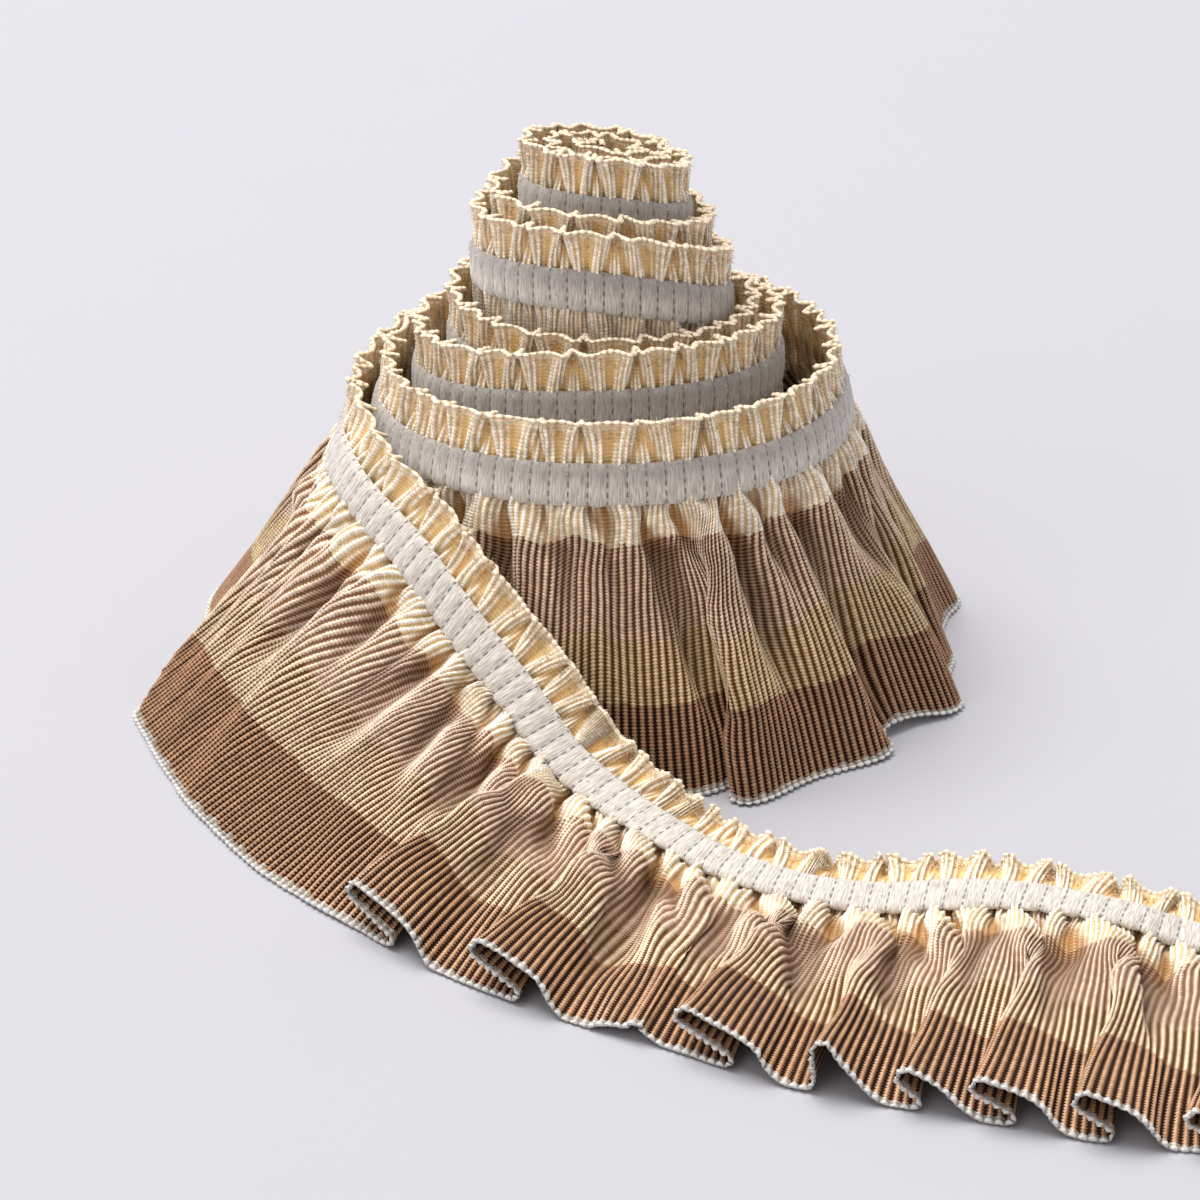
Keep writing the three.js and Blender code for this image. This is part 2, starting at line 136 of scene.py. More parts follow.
# Creases of the skirt: angle from the front at the band and at the hem, depth, half width, and the
# shares of the drop where each starts and ends
SKIRT_CREASES = (
    (-74, -72, 1.8, 2.0, 0.00, 0.9),
    (-58, -54, 1.4, 2.2, 0.00, 0.8),
    (-40, -36, 1.8, 2.0, 0.00, 0.9),
    (-27, -21, 1.8, 1.8, 0.02, 0.8),
    (-11, -4, 1.3, 2.0, 0.02, 0.6),
    (6, 22, 3.2, 1.6, 0.03, 0.85),
    (17, 21, 1.2, 1.6, 0.00, 0.4),
    (28, 35, 2.6, 1.8, 0.02, 0.8),
    (39, 41, 1.0, 2.0, 0.02, 0.5),
    (46, 51, 2.6, 1.8, 0.04, 1.1),
    (64, 66, 1.6, 2.2, 0.02, 0.6),
    (75, 77, 2.2, 2.0, 0.02, 1.0),
    (90, 91, 1.6, 2.2, 0.02, 0.9),
    (104, 111, 2.4, 1.8, 0.02, 1.1),
    (121, 121, 1.4, 2.2, 0.02, 0.7),
    (136, 140, 1.8, 2.2, 0.02, 0.9),
    (155, 162, 2.4, 1.8, 0.02, 1.1),
    (172, 174, 1.4, 2.2, 0.02, 0.7),
    (190, 195, 1.8, 2.2, 0.02, 0.9),
    (212, 218, 2.4, 1.8, 0.02, 1.1),
    (231, 230, 1.6, 2.2, 0.02, 0.7),
    (246, 250, 2.2, 2.0, 0.02, 0.9),
)

# Creases of the loose end in the same way, but for places along its band
LOOSE_CREASES = (
    (8, 3, 2.6, 1.8, 0.02, 1.1),
    (17, 8, 1.6, 1.6, 0.02, 0.5),
    (25, 14, 2.0, 2.0, 0.02, 0.7),
    (33, 22, 1.4, 1.6, 0.02, 0.5),
    (41, 30, 2.2, 2.0, 0.02, 0.7),
    (48, 38, 1.6, 1.8, 0.02, 0.6),
    (55, 46, 2.0, 2.0, 0.02, 0.7),
    (63, 57.5, 1.8, 2.2, 0.12, 0.9),
    (78, 74, 2.6, 2.0, 0.02, 0.9),
    (87, 82, 1.6, 1.6, 0.02, 0.7),
    (96, 92, 2.2, 1.8, 0.02, 0.8),
    (105, 101.5, 2.2, 1.8, 0.02, 0.8),
    (112.5, 110, 2.0, 1.6, 0.02, 0.6),
    (121, 118.5, 2.2, 1.8, 0.02, 0.8),
    (131, 129, 2.2, 1.8, 0.02, 0.8),
    (142, 141, 2.0, 1.8, 0.02, 0.8),
)

# Where the loose end's ribs start on the band, for places on the edge: they sweep back to the edge
RIB_STARTS = np.array([
    (0, 0), (3.5, 10), (7, 25), (9.5, 28.5), (25, 44), (40, 51), (52, 59), (60, 64), (66, 73),
    (74, 78), (86.6, 93), (100, 105), (114, 119), (134, 138), (150.2, 152),
])  # fmt: skip

# One repeat of the frill, three stitches long, in even shares of its cloth: place along the
# repeat and how far out the rim stands. Ridges of a few ribs part dished panels from narrow hollows.
FRILL = np.array([
    (0.0, -1.3), (0.035, -0.95), (0.075, 0.1), (0.125, 0.7), (0.2, 0.5), (0.33, -0.15),
    (0.5, -0.45), (0.67, -0.15), (0.8, 0.5), (0.875, 0.7), (0.925, 0.1), (0.965, -0.95),
    (1.0, -1.3),
])  # fmt: skip

# Loose end, a row for each station: middle of the band, frill's rim
LOOSE_END = np.array([
    (-30.4, 0.0, 27.4, -28.8, 0.0, 34.0), (-30.4, -7.3, 28.0, -27.4, -7.0, 34.2),
    (-27.4, -17.0, 27.1, -24.0, -18.0, 32.5), (-21.6, -25.8, 24.1, -17.6, -25.4, 29.0),
    (-17.4, -31.0, 20.5, -13.6, -30.0, 25.7), (-13.6, -35.2, 16.8, -9.2, -34.0, 20.9),
    (-8.8, -40.0, 12.4, -4.2, -38.8, 15.0), (-4.8, -44.2, 8.2, 0.2, -41.4, 10.2),
    (0.5, -49.2, 5.4, 5.2, -45.2, 7.0), (6.3, -55.3, 4.4, 10.6, -50.8, 5.0),
    (12.6, -60.8, 3.4, 15.7, -55.0, 4.2), (20.8, -65.6, 3.0, 22.8, -59.4, 3.8),
    (28.7, -68.0, 3.2, 30.2, -61.8, 4.4), (36.6, -70.8, 5.2, 38.2, -64.8, 6.4),
    (44.0, -73.3, 6.2, 46.0, -67.2, 6.6), (53.3, -76.6, 6.0, 55.6, -70.4, 6.0),
    (60.6, -78.2, 4.2, 62.2, -71.8, 5.0), (76.0, -80.4, 3.2, 77.2, -74.0, 3.8),
])  # fmt: skip

# Its edge on the floor: place along the band, and the spot on the floor
LOOSE_EDGE = np.array([
    (0.0, -47.6, 0.0), (0.8, -45.8, -2.6), (1.7, -42.6, -4.8), (2.7, -41.0, -8.6),
    (3.8, -43.0, -12.4), (5.0, -48.2, -15.0), (6.2, -52.6, -17.4), (7.0, -53.9, -19.2),
    (7.7, -53.8, -20.8), (9.5, -52.8, -23.6),
    (13.0, -51.0, -28.6), (17.5, -48.9, -34.0), (22.5, -46.4, -40.0), (28.5, -42.6, -47.0),
    (36.1, -37.4, -55.6), (42.8, -31.6, -62.6), (50.9, -25.4, -69.0), (58.1, -18.6, -76.0),
    (65.9, -11.0, -82.0), (74.4, -3.0, -87.4), (82.8, 6.0, -92.0), (92.3, 15.5, -98.0),
    (100.6, 24.0, -101.5), (109.2, 32.0, -104.0), (117.0, 40.0, -106.6), (126.9, 49.0, -109.4),
    (134.6, 57.0, -110.6), (150.2, 73.0, -112.6),
])  # fmt: skip

# Folds of the loose edge: place along the band, height, run back, run down
FOLDS = (
    (52.4, 5.2, 5.0, 4.5),
    (66.2, 5.4, 4.8, 4.8),
    (78.0, 1.6, -3.0, 3.5),
    (86.6, 5.0, 5.2, 4.6),
    (96.8, 5.4, 0.2, 7.0),
    (106.2, 4.0, 2.3, 5.6),
    (114.1, 4.4, 3.8, 5.4),
    (123.8, 4.8, 3.7, 6.2),
    (134.6, 4.2, 3.2, 6.0),
)

# Drops of the cloth's rows, rim to hem
DROPS = np.array([
    0.0, 0.9, 1.9, 3.0, 4.2, 6.6, 9.0, 9.8, 10.8, 12.0, 13.4, 15.0, 16.8, 18.8, 21.0, 23.2,
    25.4, 27.6, 29.8, 32.0, 34.2, 36.4, 38.6, 40.8, 42.6, 44.0,
])  # fmt: skip
INNER_DROPS = np.array([0.0, 0.9, 1.9, 3.0, 4.2, 6.6, 9.0, 10.4, 12.4, 15.5, 20.0, 31.0, 44.0])

# The camera that fits the photograph
VIEW_FROM = np.array([0.0, -410.0, 197.0])
VIEW_DOWN = np.radians(25.0)
FOCAL_PIXELS = 3780.0
PICTURE_PIXELS = 1200.0
CENTRE_PIXEL = (603.0, 600.0)


# Curves and grids


def smooth(start, end, value):
    """Smooth step: 0 up to start, 1 from end, and 3t^2 - 2t^3 between them."""
    t = np.clip((value - start) / (end - start), 0, 1)
    return t * t * (3 - 2 * t)


def mix(a, b, t):
    """Straight mix of a and b by t."""
    return a + (b - a) * t


def rows_at(table, t):
    """Catmull-Rom curve through a table's rows, at row numbers t of any shape."""
    t = np.asarray(t, float)
    i = np.clip(np.floor(t).astype(int), 0, len(table) - 2)
    f = (t - i)[..., None]
    b = table[i]
    c = table[i + 1]
    a = np.where((i > 0)[..., None], table[np.maximum(i - 1, 0)], 2 * b - c)
    last = len(table) - 1
    d = np.where((i + 2 <= last)[..., None], table[np.minimum(i + 2, last)], 2 * c - b)
    bend = (2 * a - 5 * b + 4 * c - d) * f**2
    turn = (3 * b - a - 3 * c + d) * f**3
    return 0.5 * (2 * b + (c - a) * f + bend + turn)


def run_along(points):
    """Length of a polyline up to each of its points."""
    steps = np.linalg.norm(np.diff(points, axis=0), axis=-1)
    return np.concatenate([[0.0], np.cumsum(steps)])


def unit(vectors):
    """The vectors at length 1."""
    return vectors / np.maximum(np.linalg.norm(vectors, axis=-1, keepdims=True), 1e-9)


def outward(grid):
    """Unit normals of a grid: the way down its rows crossed with the way along its columns."""
    down = np.gradient(grid, axis=0)
    along = np.gradient(grid, axis=1)
    return unit(np.cross(down, along))


# Route of the trim


QUARTERS = np.linspace(FIRST_QUARTER, LAST_QUARTER, ROUTE_STEPS)
RADII = rows_at(TURNS, QUARTERS - FIRST_QUARTER)[:, 0]
TURN_PLACES = np.concatenate([[0.0], np.cumsum(RADII[:-1] * np.diff(QUARTERS) * np.pi / 2)])
ROLL_LENGTH = TURN_PLACES[-1]
STATION_PLACES = run_along(LOOSE_END[:, :3])
LOOSE_LENGTH = STATION_PLACES[-1]


def quarter_of(place):
    """Quarter turn at a place on the roll; it runs on evenly past both ends."""
    q = np.interp(place, TURN_PLACES, QUARTERS)
    after = np.maximum(place - ROLL_LENGTH, 0) / (RADII[-1] * np.pi / 2)
    before = np.minimum(place, 0) / (RADII[0] * np.pi / 2)
    return q + after + before


def place_of(quarter):
    """Place on the roll of a quarter turn, running on evenly past the outer end."""
    after = np.maximum(quarter - LAST_QUARTER, 0) * RADII[-1] * np.pi / 2
    return np.interp(quarter, QUARTERS, TURN_PLACES) + after


def turn_points(quarter, radius, height):
    """Points on the roll from a quarter turn, a radius and a height."""
    angle = np.pi + quarter * np.pi / 2
    return np.stack([radius * np.cos(angle), radius * np.sin(angle), height + 0 * angle], -1)


def turn_cloth(place, drop):
    """Wound cloth without its gathers: upright, and leaning out on the outermost turn."""
    q = quarter_of(place)
    radius, rim = np.moveaxis(rows_at(TURNS, q - FIRST_QUARTER), -1, 0)
    lean = LEAN * smooth(18, 20.6, q) * np.clip(drop / (HEADER + BAND), 0, 1)
    below = np.maximum(drop - HEADER - BAND, 0)
    flare = 0.14 * smooth(14, 17, q) * below
    room = np.minimum(1, (rim - HEADER - BAND - 0.8) / (WIDTH - HEADER - BAND))
    height = rim - np.minimum(drop, HEADER + BAND) - below * room
    return turn_points(q, radius - 0.7 + lean + flare, height)


def loose_section(place):
    """Rim, upper and lower band edge, and floor edge of the loose end, at places from the roll."""
    rows = np.interp(place, STATION_PLACES, np.arange(len(LOOSE_END)))
    table = rows_at(LOOSE_END, rows)
    band = table[..., 0:3]
    rim = table[..., 3:6]
    stops = np.interp(place, LOOSE_EDGE[:, 0], np.arange(len(LOOSE_EDGE)))
    edge = np.concatenate([rows_at(LOOSE_EDGE, stops)[..., 1:], 0 * band[..., :1] + EDGE_LIFT], -1)
    across = unit(band - rim)
    return band - across * (HEADER + BAND / 2), band + across * BAND / 2, edge, across


# Gathers


def drift(place, *lengths):
    """Uneven drift between about -1 and 1: sines of the given lengths, in millimetres."""
    waves = [np.sin(2 * np.pi * place / length + 1.7 * k) for k, length in enumerate(lengths)]
    return sum(waves) / len(waves)


def gathers(place, drop, reach, slant, depth, bunch):
    """How far the pleats stand out of the cloth, and how far they carry it along.

    The frill's section runs from the FRILL table at its rim to three even pinches at the band.
    Below the band the pinches soon die away. The bunches are narrow at the band, widen and fade
    over the reach, and long uneven wrinkles run on among them. All of them lean by the slant. The
    bunches and wrinkles stand out by about the depth, and bunch is the length of one bunch.
    """
    repeat = 3 * STITCH
    below = np.maximum(drop - HEADER - BAND, 0)
    at = (place - slant * below) / repeat + 0.16 * drift(place, 31, 17)
    share = at - np.floor(at)
    along, rim_out = np.moveaxis(rows_at(FRILL, share * (len(FRILL) - 1)), -1, 0)
    rise = np.clip(1 - drop / HEADER, 0, 1)
    header = (drop < HEADER + BAND / 2).astype(float)
    pinch = np.cos(6 * np.pi * share)
    uneven = 1 + 0.3 * drift(place, 13, 7.7)
    frill = mix(0.5 * pinch, rim_out * uneven, rise)
    frill_slide = rise * ((along - share) * repeat + 0.45 * drift(place, 9.1, 5.3))
    turn = 2 * np.pi * (place - slant * below) / bunch
    turn = turn + 1.9 * drift(place, 29, 13) + 0.09 * below * drift(place, 19, 7)
    strength = (1 + 0.35 * drift(place, 37, 15, 9)) * np.exp(-below / reach)
    flute = np.cos(turn) * (1 - 0.7 * np.exp(-below / 1.7))
    near = np.exp(-below / 2.0)
    long = smooth(2, 9, below) * np.exp(-((below / (2.6 * reach)) ** 2))
    wrinkle = drift(place - 1.6 * slant * below, 9.7, 6.9, 13.9)
    ruffle = 0.45 * near * pinch + depth * (strength * flute + 0.8 * long * wrinkle)
    widen = mix(0.1, 0.48, smooth(0, 7, below))
    ruffle_slide = depth * strength * (widen * np.sin(turn) + 0.3 * drift(place + below, 8.3))
    out = header * frill + (1 - header) * ruffle
    slide = header * frill_slide + (1 - header) * ruffle_slide
    return out, slide


def creased(along, down, scale, creases, bend):
    """Depth of the long creases: a narrow bell across each line from band to hem, and beyond the
    line a lower bell outwards, where the next lobe laps over it. A line runs along with the power
    bend of the drop."""
    depth = 0 * (along + down)
    for start, end, deep, wide, first, last in creases:
        across = (along - mix(start, end, down**bend)) * scale / wide
        length = smooth(first, first + 0.16, down) * (1 - smooth(last - 0.35, last, down))
        bell = np.exp(-(across**2)) - 0.2 * np.exp(-(((across - 1.9) / 1.1) ** 2))
        depth = depth + deep * length * bell
    return depth


def unlevel(down, place):
    """Share of the drop at which each row lies: rows ride up and down over the wrinkles."""
    sag = drift(place - 6 * down, 7.3, 11.9, 5.2)
    return down + 0.032 * sag * smooth(0, 0.2, down) * (1 - smooth(0.4, 0.8, down))


def hollows(out, drop):
    """Mask of how deep the cloth lies in its gathers, from 0 on the ridges to 1 in the hollows. The ribs
    lie flatter by it, and the material paints shade and a warm glow into the hollows by it.
    """
    below = np.maximum(drop - HEADER - BAND, 0)
    frill = drop < HEADER + BAND / 2
    mask = np.where(frill, smooth(0.35, -0.5, out), smooth(0.5, -1.2, out))
    return mix(0.35, mask, np.exp(-below / 22.0))


def evened(cloth, masks, reach):
    """Respaces each row's points and masks along the row, evenly within the reach on either side."""
    half = int(reach * RIB_COLUMNS / RIB_PITCH)
    kernel = np.bartlett(2 * half + 1)
    kernel /= kernel.sum()
    rows = []
    for row, mask in zip(cloth, masks):
        length = run_along(row)
        before = 2 * length[0] - length[half:0:-1]
        after = 2 * length[-1] - length[-2 : -half - 2 : -1]
        even = np.convolve(np.concatenate([before, length, after]), kernel, "valid")
        rows.append(np.stack([np.interp(even, length, axis) for axis in (*row.T, mask)], -1))
    grid = np.stack(rows)
    return grid[..., :3], grid[..., 3]


def ribbed(cloth, fabric, masks, height):
    """Cloth with its cross ribs raised along the true normal, as cords with wider gaps between.
    They lie flatter in the hollows."""
    cord = (0.5 + 0.5 * np.cos(2 * np.pi * fabric / RIB_PITCH)) ** 1.4
    rise = height * (2 * cord - 1)[None, :] * (1.1 - 0.8 * smooth(0.4, 1.0, masks))
    return cloth + outward(cloth) * rise[..., None]


def gathered_cloth(cloth_at, gather, drop, fabric, reach, height):
    """Cloth with its pleats, its columns evened within the reach, and its ribs at that height.

    Cloth_at gives the smooth cloth for a shift along the trim.
    """
    out, slide = gather
    cloth = cloth_at(slide) + outward(cloth_at(0 * slide)) * out[..., None]
    cloth, masks = evened(cloth, hollows(out, drop), reach)
    return ribbed(cloth, fabric, masks, height), masks


def share_down(drop):
    """Share of the way from the band's lower edge to the hem."""
    return np.clip((drop - HEADER - BAND) / (WIDTH - HEADER - BAND), 0, 1)


def fabric_columns(length):
    """Fabric lengths of the cloth's columns, a whole number to each rib."""
    step = RIB_PITCH / RIB_COLUMNS
    return np.arange(0, int(length / step) + 1) * step


def gathered_places(places, reach):
    """Places on the band of edge columns: the mean of the places within reach, ends kept."""
    half = int(reach * RIB_COLUMNS / RIB_PITCH)
    steps = np.arange(1, half + 1)
    before = 2 * places[0] - places[steps][::-1]
    after = 2 * places[-1] - places[-1 - steps]
    padded = np.concatenate([before, places, after])
    kernel = np.bartlett(2 * half + 1)
    return np.convolve(padded, kernel / kernel.sum(), "valid")


# The three lengths of ribbon


def wound_ribbon():
    """Inner turns: upright cloth at an even fullness, with gathers along its whole width."""
    fabric = fabric_columns(FULLNESS * place_of(OUTER_QUARTER))
    place = fabric[None, :] / FULLNESS
    drop = INNER_DROPS[:, None]
    gather = gathers(place, drop, reach=6, slant=0.1, depth=0.8, bunch=4.9)

    def cloth_at(shift):
        return turn_cloth(place + shift, drop)

    cloth, masks = gathered_cloth(cloth_at, gather, drop, fabric, 6, RIB_HEIGHT)
    return cloth, fabric, INNER_DROPS, masks


def skirt_ribbon():
    """Outermost turn: its skirt is a cone from the band to the hem's outline, whose waves and folds
    grow with the drop while the columns fan out from the gathers to the outline."""
    outline = rows_at(SKIRT_HEM, np.linspace(0, len(SKIRT_HEM) - 1, HEM_STEPS))
    quarter = OUTER_QUARTER + (outline[:, 0] + 90) / 90
    length = run_along(turn_points(quarter, outline[:, 1], outline[:, 2]))
    fabric = fabric_columns(length[-1])
    hem_angle, hem_radius, hem_lift = (np.interp(fabric, length, axis) for axis in outline.T)
    hem_place = place_of(OUTER_QUARTER + (hem_angle + 90) / 90)
    band_place = gathered_places(hem_place, reach=14)
    drop = DROPS[:, None]
    down = share_down(drop)
    spread = band_place[None, :]
    out, slide = gathers(spread, drop, reach=8, slant=0.15, depth=1.45, bunch=4.7)
    slide = slide * (1 - down)
    share = smooth(0.02, 0.62, down)
    level = unlevel(down, band_place)

    def cloth_at(shift):
        place = mix(band_place, hem_place, share) + shift
        upper = turn_cloth(place, np.minimum(drop, HEADER + BAND))
        q = quarter_of(place)
        angle = (q - OUTER_QUARTER) * 90 - 90
        mean = np.interp(angle, *SKIRT_MEAN.T)
        wave = hem_radius - np.interp(hem_angle, *SKIRT_MEAN.T)
        top = np.hypot(upper[..., 0], upper[..., 1])
        radius = mix(top, mean, level) + wave * smooth(0, 0.8, down)
        height = mix(upper[..., 2], hem_lift[None, :], level)
        return turn_points(q, radius, height)

    place = mix(band_place, hem_place, share)
    angle = (quarter_of(place) - OUTER_QUARTER) * 90 - 90
    out = out - creased(angle, down, np.pi / 180 * mix(29, 41, down), SKIRT_CREASES, 0.5)
    cloth, masks = gathered_cloth(cloth_at, (out, slide), drop, fabric, 7, RIB_HEIGHT)
    return cloth, fabric, DROPS, masks


def edge_outline():
    """Loose edge as place and height: each fold runs on, back over itself and down again."""
    spots = [(0.0, 0.0)]
    for middle, height, back, down in FOLDS:
        front = middle + back / 2
        rear = middle - back / 2
        crest = max(front, rear)
        start = spots[-1][0]
        count = max(1, round((front - 2 - start) / 4))
        spots += [(mix(start, front - 2, k / count), 0.0) for k in range(1, count + 1)]
        spots += [
            (front - 0.4, 0.03 * height),
            (front, 0.22 * height),
            (middle + 0.1 * back, 0.4 * height),
            (rear, 0.66 * height),
            (rear + 0.1, 0.9 * height),
            (rear + 1.3, height),
            (crest + 0.35 * down, 0.68 * height),
            (crest + 0.75 * down, 0.2 * height),
            (crest + down, 0.02 * height),
        ]
    start = spots[-1][0]
    spots += [(mix(start, LOOSE_LENGTH, k / 4), 0.0) for k in range(1, 5)]
    return np.array(spots)


def loose_ribbon(joined):
    """Loose end: a ruled sheet from band to floor edge. The edge's folds rise and close towards the
    edge, and open towards the band. Its first column is drawn to the skirt's last one."""
    spots = edge_outline()
    outline = rows_at(spots, np.linspace(0, len(spots) - 1, EDGE_STEPS))
    edge = loose_section(outline[:, 0])[2]
    edge[:, 2] += outline[:, 1]
    length = run_along(edge)
    fabric = fabric_columns(length[-1])
    edge_place, edge_height = (np.interp(fabric, length, axis) for axis in outline.T)
    band_place = gathered_places(np.interp(edge_place, *RIB_STARTS.T), reach=16)
    drop = DROPS[:, None]
    down = share_down(drop)
    spread = ROLL_LENGTH + band_place[None, :]
    out, slide = gathers(spread, drop, reach=9, slant=0.3, depth=1.5, bunch=4.3)
    slide = slide * (1 - down)
    level = unlevel(down, ROLL_LENGTH + band_place)
    out = out - creased(mix(band_place, edge_place, down), down, 1.0, LOOSE_CREASES, 1.0)

    def cloth_at(shift):
        place = mix(band_place, edge_place, down) + shift
        rim, lower, edge, across = loose_section(place)
        upper = rim + across * np.minimum(drop, HEADER + BAND)[..., None]
        ruled = mix(upper, edge, level[..., None])
        ruled[..., 2] += edge_height * down + 5 * down * (1 - down)
        return ruled

    cloth, masks = gathered_cloth(cloth_at, (out, slide), drop, fabric, 7, LOOSE_RIB_HEIGHT)
    pull = np.exp(-band_place / 5)[None, :, None]
    cloth += (joined - cloth[:, :1]) * pull
    cloth[..., 2] = np.maximum(cloth[..., 2], CLOTH_LIFT)
    return cloth, fabric, DROPS, masks


# Band and beads


def band_strip(middle, side, face, place):
    """Soft band as a closed strip: a low cushion across its width, drawn in at every stitch.

    Its height over the cloth is (1 - t^6)^(1/2) of the cushion's, t from -1 to 1 across, and each
    lobe between stitches rises with the sine of the place to the power 0.45.
    """
    across = np.array([-1.0, -0.96, -0.8, -0.5, -0.17, 0.17, 0.5, 0.8, 0.96, 1.0])
    lobe = np.abs(np.sin(np.pi * place / STITCH)) ** 0.45
    rise = 0.28 + (0.44 + 0.3 * lobe)[None, :] * np.sqrt(1 - across[:, None] ** 6)
    above = BAND / 2 + 0.1 + 0.22 * (1 - lobe)
    below = BAND / 2 + 0.34 * lobe
    reach = np.where(across[:, None] < 0, above, below) * across[:, None]
    top = middle + side * reach[..., None] + face * rise[..., None]
    return np.concatenate([top, top[:1]], 0)


def roll_band():
    """Band of the roll, from its start on an inner turn to where the loose end leaves."""
    start = place_of(BAND_START)
    place = np.linspace(start, ROLL_LENGTH, int((ROLL_LENGTH - start) / STITCH * BAND_STEPS))
    upper = turn_cloth(place, 0 * place + HEADER)
    lower = turn_cloth(place, 0 * place + HEADER + BAND)
    side = unit(lower - upper)
    face = unit(np.cross(side, np.gradient(upper, axis=0)))
    return band_strip((upper + lower) / 2, side, face, place), place


def loose_band():
    """Band of the loose end, on the ruled sheet's two band rows."""
    place = np.linspace(0, LOOSE_LENGTH, int(LOOSE_LENGTH / STITCH * BAND_STEPS))
    rim, lower, _, across = loose_section(place)
    face = unit(np.cross(across, np.gradient(rim, axis=0)))
    middle = lower - across * BAND / 2
    return band_strip(middle, across, face, place + ROLL_LENGTH), place + ROLL_LENGTH


def beaded_rim(line, fabric, radius):
    """Tube along an edge whose radius swells at each rib, so that it reads as a row of beads."""
    along = unit(np.gradient(line, axis=0))
    guide = np.array([0.3, 0.2, 1.0])
    first = unit(np.cross(along, guide))
    second = np.cross(along, first)
    lumpy = 1 + 0.3 * drift(fabric, 3.7, 10.3, 5.1)
    swell = radius * lumpy * (0.78 + 0.22 * np.cos(2 * np.pi * fabric / RIB_PITCH))
    angles = np.linspace(0, 2 * np.pi, 7)[:, None, None]
    ring = np.cos(angles) * first + np.sin(angles) * second
    return line + ring * swell[:, None]


def fibres(roots, normals, lengths, seed):
    """Loose fibres: curved three-sided needles, a ring at the root, a smaller ring half-way, a tip.

    Each leaves near the given normal, turned aside at random, and bends on about as much again.
    """
    chance = np.random.default_rng(seed)
    count = len(roots)
    stray = chance.normal(0, 1, (count, 3))
    first = unit(normals * chance.uniform(0.2, 1.0, (count, 1)) + 0.55 * stray)
    second = unit(first + 0.5 * chance.normal(0, 1, (count, 3)))
    length = chance.uniform(*lengths, (count, 1))
    middle = roots + first * length * 0.5
    tip = middle + second * length * 0.5
    side = unit(np.cross(first, stray))
    other = np.cross(first, side)
    turns = 2 * np.pi * np.arange(3) / 3
    ring = np.cos(turns)[:, None] * side[:, None] + np.sin(turns)[:, None] * other[:, None]
    lower = (roots - 0.05 * first)[:, None] + FIBRE_RADIUS * ring
    upper = middle[:, None] + 0.75 * FIBRE_RADIUS * ring
    return np.concatenate([lower, upper, tip[:, None]], 1)


def scattered(grid, density, seed):
    """Random spots on a grid of points, and its normals there; density counts spots per column."""
    chance = np.random.default_rng(seed)
    rows, columns = grid.shape[:2]
    count = int(density * columns)
    i = chance.integers(0, rows - 1, count)
    j = chance.integers(0, columns - 1, count)
    u, v = chance.uniform(0, 1, (2, count, 1))
    spots = mix(mix(grid[i, j], grid[i + 1, j], u), mix(grid[i, j + 1], grid[i + 1, j + 1], u), v)
    return spots, outward(grid)[i, j]


# Meshes and materials


def add_mesh(name, points, corners, material):
    """Object of points in metres and faces that all have the same number of corners."""
    mesh = bpy.data.meshes.new(name)
    mesh.vertices.add(len(points))
    mesh.vertices.foreach_set("co", points.ravel())
    mesh.loops.add(corners.size)
    mesh.loops.foreach_set("vertex_index", corners.ravel())
    mesh.polygons.add(len(corners))
    mesh.polygons.foreach_set("loop_start", np.arange(0, corners.size, corners.shape[1]))
    mesh.update(calc_edges=True)
    mesh.materials.append(material)
    piece = bpy.data.objects.new(name, mesh)
    bpy.context.scene.collection.objects.link(piece)
    return piece


def add_sheet(name, grid, fabric, drops, material, masks=None):
    """Smooth quads from a grid of points, with fabric length and drop as their UV map."""
    rows, columns = grid.shape[:2]
    i, j = np.meshgrid(np.arange(rows - 1), np.arange(columns - 1), indexing="ij")
    first = (i * columns + j).ravel()
    corners = np.stack([first, first + columns, first + columns + 1, first + 1], -1)
    points = grid.reshape(-1, 3) * MM + ROLL_AXIS * MM
    piece = add_mesh(name, points, corners, material)
    piece.data.polygons.foreach_set("use_smooth", np.ones(len(corners), bool))
    across = np.broadcast_to(fabric[None, :], (rows, columns)).ravel()
    downward = np.broadcast_to(drops[:, None], (rows, columns)).ravel()
    cloth_map = np.stack([across, downward], -1)[corners.ravel()]
    piece.data.uv_layers.new(name="Cloth").data.foreach_set("uv", cloth_map.ravel())
    if masks is not None:
        # Mask of the hollows, by which the material paints shade and a warm glow into the gathers
        layer = piece.data.attributes.new("hollow", "FLOAT", "POINT")
        layer.data.foreach_set("value", masks.ravel())
    return piece


def add_fibres(name, grid, material, density, lengths, upright, seeds):
    """Fibres scattered over a grid, each with two rings of three points and a tip."""
    spots, normals = scattered(grid, density, seeds[0])
    normals = (1 - upright) * normals + (0, 0, upright)
    needles = fibres(spots, normals, lengths, seeds[1])
    walls = np.array([(0, 1, 4), (0, 4, 3), (1, 2, 5), (1, 5, 4), (2, 0, 3), (2, 3, 5)])
    cap = np.array([(3, 4, 6), (4, 5, 6), (5, 3, 6), (0, 2, 1)])
    corners = np.concatenate([walls, cap])[None] + 7 * np.arange(len(needles))[:, None, None]
    points = (needles.reshape(-1, 3) + ROLL_AXIS) * MM
    piece = add_mesh(name, points, corners.reshape(-1, 3), material)
    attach(piece, "root")
    return piece


